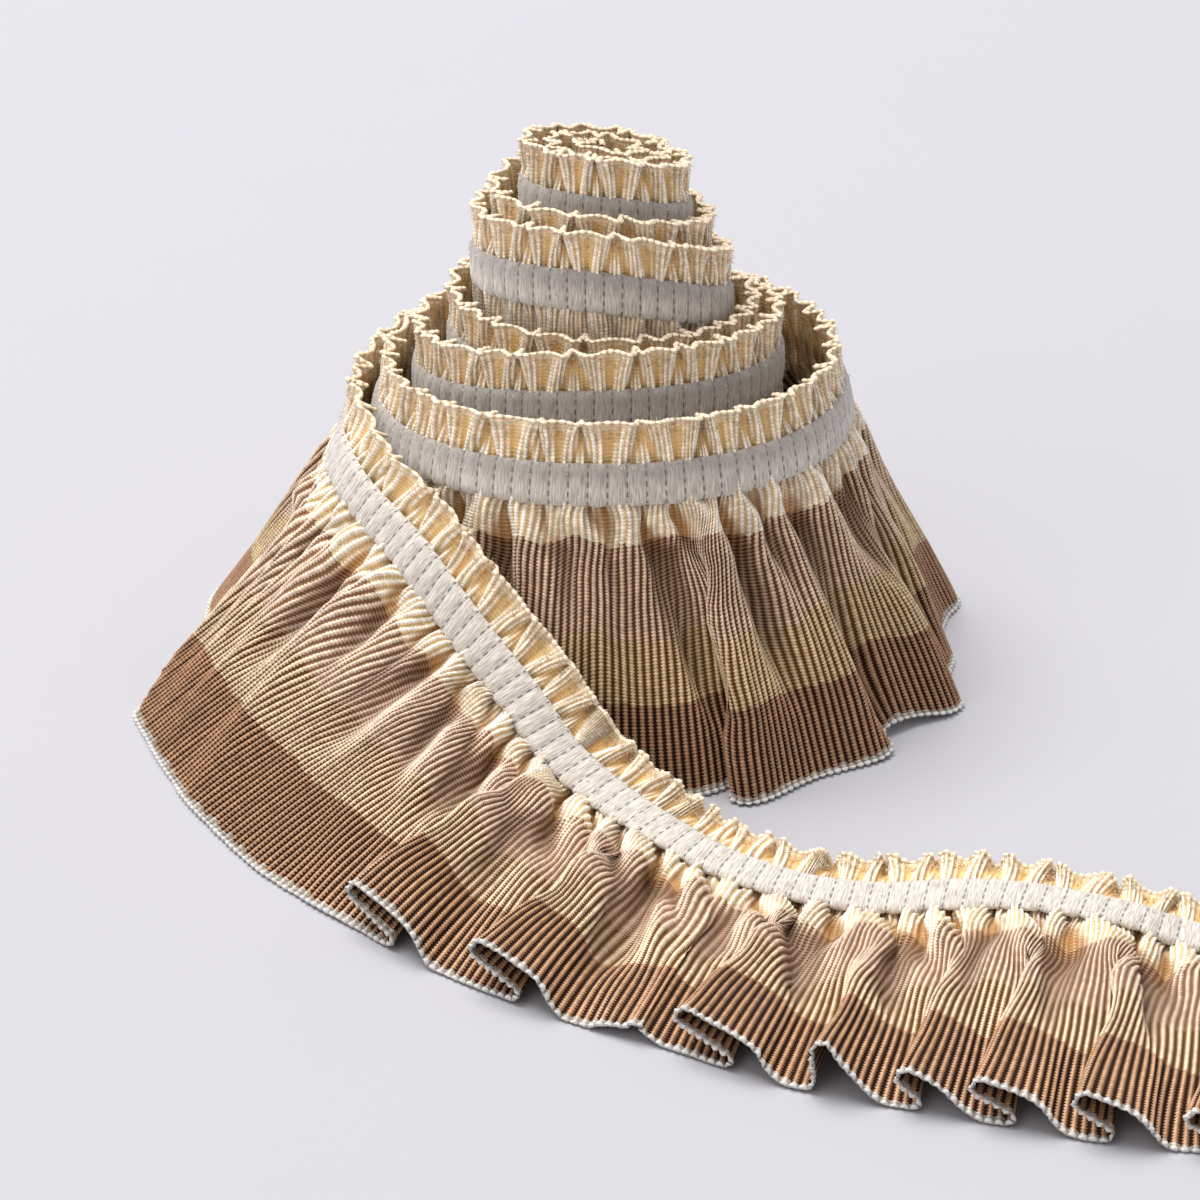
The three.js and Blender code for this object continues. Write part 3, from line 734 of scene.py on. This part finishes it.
class Nodes:
    """Short way to add and join the nodes of one tree."""

    def __init__(self, tree):
        self.tree = tree
        self.tree.nodes.clear()

    def add(self, kind, *inputs, **settings):
        """Adds a node, applies its settings and fills its sockets in order, by value or by link."""
        node = self.tree.nodes.new(kind)
        for key, value in settings.items():
            setattr(node, key, value)
        for socket, value in zip(node.inputs, inputs):
            self.feed(socket, value)
        return node

    def feed(self, socket, value):
        """Sets a socket's value, or links it where the value is a socket itself."""
        if value is None:
            return
        if isinstance(value, bpy.types.NodeSocket):
            self.tree.links.new(value, socket)
        else:
            socket.default_value = value

    def math(self, operation, *inputs):
        """One Math node's answer."""
        return self.add("ShaderNodeMath", *inputs, operation=operation).outputs[0]

    def blend(self, factor, a, b, kind="MIX"):
        """Two colours mixed by a factor."""
        node = self.add("ShaderNodeMix", data_type="RGBA", blend_type=kind)
        self.feed(node.inputs[0], factor)
        self.feed(node.inputs[6], a)
        self.feed(node.inputs[7], b)
        return node.outputs[2]

    def range(self, value, low, high):
        """A value stepped smoothly from 0 at low to 1 at high."""
        node = self.add("ShaderNodeMapRange", value, low, high, interpolation_type="SMOOTHSTEP")
        return node.outputs[0]

    def feed_named(self, node, sockets):
        """Feeds the sockets that are given by name."""
        for name, value in sockets.items():
            self.feed(node.inputs[name], value)
        return node

    def cloth_map(self):
        """The piece's UV map, and its parts: X along the cloth, Y down from the rim."""
        cloth = self.add("ShaderNodeUVMap", uv_map="Cloth").outputs["UV"]
        return cloth, self.add("ShaderNodeSeparateXYZ", cloth).outputs

    def noise(self, spot, **sockets):
        """A noise texture's factor."""
        return self.feed_named(self.add("ShaderNodeTexNoise", spot), sockets).outputs["Fac"]

    def bump(self, height, strength, distance):
        """Normal of a surface raised by a height; the distance is in metres."""
        sockets = {"Strength": strength, "Distance": distance, "Height": height}
        return self.feed_named(self.add("ShaderNodeBump"), sockets).outputs["Normal"]

    def surface(self, sockets):
        """Principled shader with the named sockets fed, joined to the material's output."""
        shader = self.feed_named(self.add("ShaderNodeBsdfPrincipled"), sockets)
        self.add("ShaderNodeOutputMaterial", shader.outputs[0])


def new_material(name):
    """A material, and the short way to fill its empty tree."""
    material = bpy.data.materials.new(name)
    material.use_nodes = True
    return material, Nodes(material.node_tree)


def linear(color):
    """A screen colour as Blender's linear RGBA."""
    values = np.array(color)
    low = values / 12.92
    high = ((values + 0.055) / 1.055) ** 2.4
    return (*np.where(values <= 0.04045, low, high), 1.0)


def rib_weave_group():
    """Node group of the ribbed weave. Each rib is a row of dots, one to every cross thread, that
    part into plain cross threads where the ribs are weak; it also numbers the ribs and the dots."""
    group = bpy.data.node_groups.new("rib_weave", "ShaderNodeTree")
    for name in ("Fabric", "Drop", "Weakness", "Rib pitch", "Thread pitch"):
        group.interface.new_socket(name, in_out="INPUT", socket_type="NodeSocketFloat")
    for name in ("Groove", "Thread", "Relief", "Rib shade", "Dot shade"):
        group.interface.new_socket(name, in_out="OUTPUT", socket_type="NodeSocketFloat")
    n = Nodes(group)
    source = n.add("NodeGroupInput").outputs
    ribs = n.math("DIVIDE", source["Fabric"], source["Rib pitch"])
    wave = n.math("COSINE", n.math("MULTIPLY", ribs, 2 * np.pi))
    number = n.math("FLOOR", n.math("ADD", ribs, 0.5))
    threads = n.math("DIVIDE", source["Drop"], source["Thread pitch"])
    threads = n.math("MULTIPLY_ADD", number, 0.07, threads)
    cross = n.math("COSINE", n.math("MULTIPLY", threads, 2 * np.pi))
    share = n.math("MULTIPLY_ADD", source["Weakness"], -0.5, 0.74)
    relief = n.math("MULTIPLY_ADD", wave, share, n.math("MULTIPLY", cross, 0.32))
    groove = n.range(relief, 0.2, -0.3)
    rib_shade = n.add("ShaderNodeTexWhiteNoise", noise_dimensions="1D")
    n.feed(rib_shade.inputs["W"], number)
    dot = n.add("ShaderNodeCombineXYZ", number, n.math("FLOOR", n.math("ADD", threads, 0.5)))
    dot_shade = n.add("ShaderNodeTexWhiteNoise", dot.outputs[0], noise_dimensions="2D")
    thread = n.math("MULTIPLY_ADD", cross, 0.5, 0.5)
    result = n.add("NodeGroupOutput")
    values = (groove, thread, relief, rib_shade.outputs["Value"], dot_shade.outputs["Value"])
    for socket, value in zip(result.inputs, values):
        n.feed(socket, value)
    return group


def stripe_ramp(n, factor, colors, ending):
    """Sharp-edged colour ramp over the trim's width, of the stripes' colours with that ending."""
    node = n.add("ShaderNodeValToRGB", factor)
    ramp = node.color_ramp
    ramp.interpolation = "CONSTANT"
    for k, (stripe, start) in enumerate(STRIPES.items()):
        point = ramp.elements[k] if k < 2 else ramp.elements.new(1.0)
        point.position = start / WIDTH
        point.color = linear(colors[stripe + ending])
    return node.outputs["Color"]


def ribbon_material(name, colors, group):
    """Striped ribbed ribbon: light ribs over a darker ground. Shade is painted into the hollows of the
    gathers, golden with a painted warm glow in the frill and darker below the band.
    """
    material, n = new_material(name)
    cloth, spot = n.cloth_map()
    hollow = n.add("ShaderNodeAttribute", attribute_name="hollow").outputs["Fac"]
    deep = n.range(hollow, 0.35, 1.0)
    weave = n.add("ShaderNodeGroup", node_tree=group)
    sources = (spot["X"], spot["Y"], deep, RIB_PITCH, THREAD_PITCH)
    for socket, value in zip(weave.inputs, sources):
        n.feed(socket, value)
    groove, thread, relief, rib_shade, dot_shade = weave.outputs
    step = n.math("MULTIPLY_ADD", rib_shade, 0.5, -0.25)
    width = n.math("DIVIDE", n.math("ADD", spot["Y"], step), WIDTH)
    rib = stripe_ramp(n, width, colors, "_rib")
    ground = stripe_ramp(n, width, colors, "_ground")
    dark = n.math("MULTIPLY_ADD", thread, -0.5, 1.2)
    ground = n.blend(1.0, ground, dark, "MULTIPLY")
    frill = n.range(spot["Y"], HEADER + 1.5, HEADER)
    fade = n.math("MULTIPLY", deep, n.math("MULTIPLY_ADD", frill, 0.6, 0.2))
    color = n.blend(groove, rib, ground)
    color = n.blend(fade, color, n.blend(0.45, rib, ground))
    # Painted shade in the deep hollows: the bunch tint just below the band, the shade tint further down,
    # and in the frill a golden tint of painted warm glow and shade
    upper = n.range(spot["Y"], 15.5, 12.5)
    tint = n.blend(upper, linear(colors["shade"]), linear(colors["bunch"]))
    tint = n.blend(frill, tint, linear(colors["hollow"]))
    color = n.blend(1.0, color, n.blend(deep, (1, 1, 1, 1), tint), "MULTIPLY")
    frost = n.range(spot["Y"], 1.3, 0.3)
    color = n.blend(n.math("MULTIPLY", frost, 0.7), color, linear(colors["rim"]))
    patches = n.noise(cloth, Scale=0.12)
    shade = n.add("ShaderNodeMapRange", patches, 0.3, 0.7, 0.55, 0.71).outputs[0]
    shade = n.math("MULTIPLY_ADD", rib_shade, 0.2, shade)
    shade = n.math("MULTIPLY_ADD", thread, 0.2, shade)
    # Painted glow: the frill is a little lighter
    shade = n.math("MULTIPLY_ADD", frill, 0.06, shade)
    uneven = n.math("MULTIPLY_ADD", deep, -0.26, 0.34)
    shade = n.math("MULTIPLY_ADD", dot_shade, uneven, shade)
    color = n.blend(1.0, color, shade, "MULTIPLY")
    n.surface({
        "Base Color": color,
        "Roughness": n.math("MULTIPLY_ADD", groove, 0.4, 0.4),
        "Coat Weight": n.math("MULTIPLY_ADD", groove, -0.6, 0.6),
        "Coat Roughness": 0.35,
        "Specular IOR Level": 0.12,
        "Sheen Weight": 0.08,
        "Sheen Roughness": 0.4,
        "Normal": n.bump(relief, 0.7, 0.00012),
    })
    return material


def band_material(colors):
    """Soft band: fine hairs across its width, a row of grey stitches between its lobes, and a painted
    shadow of the frill along the top of the wound band.
    """
    material, n = new_material("band_pile")
    cloth, spot = n.cloth_map()
    stretch = n.add("ShaderNodeVectorMath", cloth, (7.0, 0.9, 1.0), operation="MULTIPLY")
    hair = n.noise(stretch.outputs[0], Scale=1.0, Detail=3.0)
    turns = n.math("MULTIPLY", spot["X"], np.pi / STITCH)
    seam = n.range(n.math("ABSOLUTE", n.math("SINE", turns)), 0.24, 0.06)
    dots = n.range(n.math("COSINE", n.math("MULTIPLY", spot["Y"], 2 * np.pi / 0.72)), -0.6, 0.5)
    stitch = n.math("MULTIPLY", seam, n.math("MULTIPLY_ADD", dots, 0.75, 0.25))
    pile = n.blend(n.range(hair, 0.3, 0.7), linear(colors["band_deep"]), linear(colors["band"]))
    # Painted shadow of the frill: the wound band is greyer along its top
    wound = n.range(spot["X"], ROLL_LENGTH + 15, ROLL_LENGTH - 15)
    shaded = n.math("MULTIPLY", wound, n.range(spot["Y"], 2.8, 0.8))
    pile = n.blend(n.math("MULTIPLY", shaded, 0.7), pile, linear(colors["band_shaded"]))
    color = n.blend(stitch, pile, linear(colors["stitch"]))
    height = n.math("SUBTRACT", hair, n.math("MULTIPLY", stitch, 0.6))
    n.surface({
        "Base Color": color,
        "Roughness": 0.95,
        "Sheen Weight": 0.6,
        "Normal": n.bump(height, 0.8, 0.00025),
    })
    return material


def bead_material(name, light, deep):
    """Woven edge of light loops, deeper in colour between the loops: painted shade there, uneven at random.
    """
    material, n = new_material(name)
    cloth, spot = n.cloth_map()
    wave = n.math("COSINE", n.math("MULTIPLY", spot["X"], 2 * np.pi / RIB_PITCH))
    loops = n.noise(cloth, Scale=2.2)
    # Painted shade between the loops, uneven with the noise
    mask = n.range(n.math("MULTIPLY_ADD", wave, 0.4, loops), 0.0, 0.75)
    color = n.blend(mask, linear(deep), linear(light))
    n.surface({
        "Base Color": color,
        "Roughness": 0.85,
        "Sheen Weight": 0.4,
        "Normal": n.bump(loops, 0.7, 0.0002),
    })
    return material


def fibre_material(name, light, deep):
    """Loose fibres, a little lighter and deeper from place to place."""
    material, n = new_material(name)
    spot = n.add("ShaderNodeTexCoord").outputs["Object"]
    mask = n.range(n.noise(spot, Scale=900.0), 0.35, 0.65)
    n.surface({"Base Color": n.blend(mask, linear(deep), linear(light)), "Roughness": 0.8})
    return material


def floor_material(color):
    """Plain matt studio floor with the faintest grain."""
    material, n = new_material("studio_floor")
    spot = n.add("ShaderNodeTexCoord").outputs["Object"]
    grain = n.noise(spot, Scale=40.0)
    shade = n.add("ShaderNodeMapRange", grain, 0.0, 1.0, 0.995, 1.005).outputs[0]
    n.surface({
        "Base Color": n.blend(1.0, linear(color), shade, "MULTIPLY"),
        "Roughness": 0.9,
        "Specular IOR Level": 0.1,
    })
    return material


# The add-on


def color_property(name, default, description):
    """A colour setting, as it looks on screen."""
    return FloatVectorProperty(
        name=name, description=description, default=default, size=3, min=0, max=1, subtype="COLOR_GAMMA"
    )


class TrimSettings(bpy.types.PropertyGroup):
    """Sizes and colours of the trim."""

    bead_radius: FloatProperty(
        name="Bead radius",
        description="Radius of the loops along the woven edges, in millimetres",
        default=0.3,
        min=0.1,
        max=1.0,
    )
    cream_rib: color_property("Cream ribs", (1.0, 0.97, 0.92), "Ribs of the frill")
    cream_ground: color_property("Cream ground", (0.90, 0.79, 0.61), "Cloth between the cream ribs")
    mauve_rib: color_property("Mauve ribs", (0.87, 0.77, 0.67), "Ribs of the mauve stripe")
    mauve_ground: color_property("Mauve ground", (0.42, 0.27, 0.17), "Cloth of the mauve stripe")
    gold_rib: color_property("Gold ribs", (0.84, 0.75, 0.60), "Ribs of the gold stripe")
    gold_ground: color_property("Gold ground", (0.42, 0.27, 0.10), "Cloth of the gold stripe")
    brown_rib: color_property("Brown ribs", (0.68, 0.52, 0.40), "Ribs of the brown stripe")
    brown_ground: color_property("Brown ground", (0.20, 0.10, 0.04), "Cloth of the brown stripe")
    # Painted light: lighter copies of the mauve, gold and brown colours for the loose end
    lit_mauve_rib: color_property("Lit mauve ribs", (0.93, 0.84, 0.76), "Mauve ribs of the loose end")
    lit_mauve_ground: color_property("Lit mauve ground", (0.58, 0.43, 0.31), "Mauve cloth of the loose end")
    lit_gold_rib: color_property("Lit gold ribs", (0.93, 0.84, 0.72), "Gold ribs of the loose end")
    lit_brown_rib: color_property("Lit brown ribs", (0.76, 0.59, 0.45), "Brown ribs of the loose end")
    edge_rib: color_property("Edge ribs", (0.80, 0.77, 0.74), "Woven edge at the hem")
    edge_ground: color_property("Edge ground", (0.62, 0.58, 0.54), "Gaps of the woven edge")
    # Painted warm glow and shade in the deep hollows of the frill
    hollow: color_property("Hollows", (1.0, 0.90, 0.70), "Tint of the gathers' hollows")
    # Painted shade in the hollows below the band, and in the other stripes further down
    bunch: color_property("Bunches", (0.76, 0.60, 0.39), "Tint of the hollows below the band")
    shade: color_property("Shade", (0.60, 0.49, 0.37), "Tint of the hollows in the other stripes")
    band: color_property("Band", (0.95, 0.93, 0.90), "Pile of the band")
    band_deep: color_property("Band pile", (0.73, 0.69, 0.66), "Depth of the band's pile")
    # Painted shadow along the top of the wound band
    band_shaded: color_property("Band top", (0.56, 0.53, 0.51), "Grey along the top of the wound band")
    stitch: color_property("Stitches", (0.50, 0.48, 0.48), "Stitches across the band")
    # The gap colours of the woven edges are painted shade between the loops; the rim's also tints its
    # fibres at random
    rim: color_property("Rim loops", (1.0, 0.94, 0.84), "Loops along the frill's rim")
    rim_deep: color_property("Rim gaps", (0.82, 0.70, 0.54), "Gaps between the rim's loops")
    hem: color_property("Hem loops", (0.85, 0.84, 0.83), "Loops along the hem")
    hem_deep: color_property("Hem gaps", (0.56, 0.53, 0.52), "Gaps between the hem's loops")
    fibre: color_property("Fibres", (1.0, 0.98, 0.95), "Loose fibres of the band and the frill's rim")
    floor: color_property("Floor", (0.728, 0.730, 0.760), "Studio floor")

    def colors(self):
        """All the colour settings by name."""
        names = [key for key in self.__annotations__ if key != "bead_radius"]
        return {key: tuple(getattr(self, key)) for key in names}


def materials():
    """The trim's materials, made once."""
    if "ribbed_cloth" not in bpy.data.materials:
        colors = bpy.context.scene.trim.colors()
        weave = rib_weave_group()
        # The loose end's cloth is a lit copy, with painted light in its lighter colours
        lit = {key[4:]: color for key, color in colors.items() if key.startswith("lit_")}
        ribbon_material("ribbed_cloth", colors, weave)
        ribbon_material("ribbed_cloth_in_light", {**colors, **lit}, weave)
        band_material(colors)
        bead_material("beaded_rim", colors["rim"], colors["rim_deep"])
        bead_material("beaded_hem", colors["hem"], colors["hem_deep"])
        fibre_material("rim_fibres", colors["rim"], colors["rim_deep"])
        fibre_material("band_fibres", colors["fibre"], colors["band_deep"])
    return bpy.data.materials


def finish_ribbon(name, made, material, edges):
    grid, fabric, drops, masks = made
    made_of = materials()
    piece = add_sheet(name, grid, fabric, drops, made_of[material], masks)
    for edge in edges:
        line = grid[0] if edge == "rim" else grid[-1]
        radius = bpy.context.scene.trim.bead_radius * EDGE_BEADS[edge]
        tube = beaded_rim(line, fabric, radius)
        tube[..., 2] = np.maximum(tube[..., 2], BEAD_LIFT)
        girth = np.linspace(0, EDGE_GIRTH, len(tube))
        bead = add_sheet(f"{name}_{edge}", tube, fabric, girth, made_of[f"beaded_{edge}"])
        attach(bead, "root")
    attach(piece, "root")
    fringe = add_fibres(f"{name}_fibres", grid[:3], made_of["rim_fibres"], **RIM_FIBRES)
    return piece


class TRIM_OT_roll(bpy.types.Operator):
    """Add the wound ribbon: the inner turns and the outermost turn with its skirt"""

    bl_idname = "trim.roll"
    bl_label = "Wound ribbon"

    def execute(self, context):
        inner = finish_ribbon("ribbon_turns", wound_ribbon(), "ribbed_cloth", ["rim"])
        finish_ribbon("ribbon_skirt", skirt_ribbon(), "ribbed_cloth", ["rim", "hem"])
        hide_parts("ruffle_roll")
        return {"FINISHED"}


class TRIM_OT_loose_end(bpy.types.Operator):
    """Add the loose end of the ribbon, lying over the skirt and on the floor"""

    bl_idname = "trim.loose_end"
    bl_label = "Loose end"

    def execute(self, context):
        joined = skirt_ribbon()[0][:, -1:]
        made = loose_ribbon(joined)
        edges = ["rim", "hem"]
        loose = finish_ribbon("ribbon_loose_end", made, "ribbed_cloth_in_light", edges)
        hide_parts("ruffle_tail")
        return {"FINISHED"}


class TRIM_OT_band(bpy.types.Operator):
    """Add the soft band on the roll and on the loose end"""

    bl_idname = "trim.band"
    bl_label = "Soft band"

    def execute(self, context):
        roll_nodes = [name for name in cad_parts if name.startswith("band_roll")]
        lengths = {
            "band_on_roll": (roll_band(), roll_nodes),
            "band_on_loose_end": (loose_band(), ["band_tail"]),
        }
        for name, ((grid, place), nodes) in lengths.items():
            drops = np.concatenate([np.linspace(0, BAND, len(grid) - 1), [0.0]])
            piece = add_sheet(name, grid[::-1], place, drops[::-1], materials()["band_pile"])
            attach(piece, "root")
            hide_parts(*nodes)
            pile = name.replace("band", "pile")
            add_fibres(pile, grid[:, ::-1], materials()["band_fibres"], **BAND_FIBRES)
        return {"FINISHED"}


class TRIM_OT_stage(bpy.types.Operator):
    """Add the floor, the soft studio light and the camera at the photograph's angle"""

    bl_idname = "trim.stage"
    bl_label = "Stage"

    def execute(self, context):
        scene = context.scene
        scene.view_settings.view_transform = "Standard"
        side = 3.0
        corners = [(-side, -side, 0), (side, -side, 0), (side, side, 0), (-side, side, 0)]
        mesh = bpy.data.meshes.new("floor")
        mesh.from_pydata(corners, [], [(0, 1, 2, 3)])
        mesh.materials.append(floor_material(tuple(scene.trim.floor)))
        floor = bpy.data.objects.new("floor", mesh)
        scene.collection.objects.link(floor)
        self.add_lights(scene)
        self.add_camera(scene)
        return {"FINISHED"}

    def add_lights(self, scene):
        """Big soft light from the back left, a weaker one from the front, and an even sky."""
        world = bpy.data.worlds.new("studio")
        world.use_nodes = True
        sky = world.node_tree.nodes["Background"]
        sky.inputs["Color"].default_value = (1.0, 0.97, 0.95, 1.0)
        sky.inputs["Strength"].default_value = 0.5
        scene.world = world
        aim = Vector((0.0, 0.0, 0.02))
        lamps = {
            "key": ((-0.75, 0.70, 2.45), 2.0, 91.0, (1.0, 0.98, 0.95)),
            "fill": ((-1.5, -1.5, 1.5), 1.8, 12.0, (1.0, 0.97, 0.93)),
        }
        for name, (place, size, power, color) in lamps.items():
            lamp = bpy.data.lights.new(name, "AREA")
            lamp.size = size
            lamp.energy = power
            lamp.color = color
            holder = bpy.data.objects.new(name, lamp)
            holder.location = place
            holder.rotation_euler = (aim - Vector(place)).to_track_quat("-Z", "Y").to_euler()
            scene.collection.objects.link(holder)

    def add_camera(self, scene):
        """Camera fitted to the photograph: its lens follows from the focal length in pixels."""
        lens = bpy.data.cameras.new("camera")
        lens.sensor_width = 36.0
        lens.lens = 36.0 * FOCAL_PIXELS / PICTURE_PIXELS
        lens.shift_x = (PICTURE_PIXELS / 2 - CENTRE_PIXEL[0]) / PICTURE_PIXELS
        lens.shift_y = (CENTRE_PIXEL[1] - PICTURE_PIXELS / 2) / PICTURE_PIXELS
        lens.clip_start = 0.01
        camera = bpy.data.objects.new("camera", lens)
        camera.location = (VIEW_FROM + ROLL_AXIS) * MM
        camera.rotation_euler = (np.pi / 2 - VIEW_DOWN, 0, 0)
        scene.collection.objects.link(camera)
        scene.camera = camera


class TRIM_PT_panel(bpy.types.Panel):
    """Sidebar panel that lists the trim's pieces"""

    bl_label = "Ruffled tape trim"
    bl_idname = "TRIM_PT_panel"
    bl_space_type = "VIEW_3D"
    bl_region_type = "UI"
    bl_category = "Trim"

    def draw(self, context):
        for name in context.scene.trim.__annotations__:
            self.layout.prop(context.scene.trim, name)
        for operator in OPERATORS:
            self.layout.operator(operator.bl_idname)


OPERATORS = (TRIM_OT_stage, TRIM_OT_roll, TRIM_OT_loose_end, TRIM_OT_band)
CLASSES = (TrimSettings, *OPERATORS, TRIM_PT_panel)


def register():
    """Registers the classes and the scene's settings."""
    for item in CLASSES:
        bpy.utils.register_class(item)
    bpy.types.Scene.trim = PointerProperty(type=TrimSettings)


def unregister():
    """Removes the settings and the classes again."""
    del bpy.types.Scene.trim
    for item in reversed(CLASSES):
        bpy.utils.unregister_class(item)


def main():
    """Builds the stage and every piece in order."""
    register()
    bpy.ops.trim.stage()
    bpy.ops.trim.roll()
    bpy.ops.trim.loose_end()
    bpy.ops.trim.band()


if __name__ == "__main__":
    main()
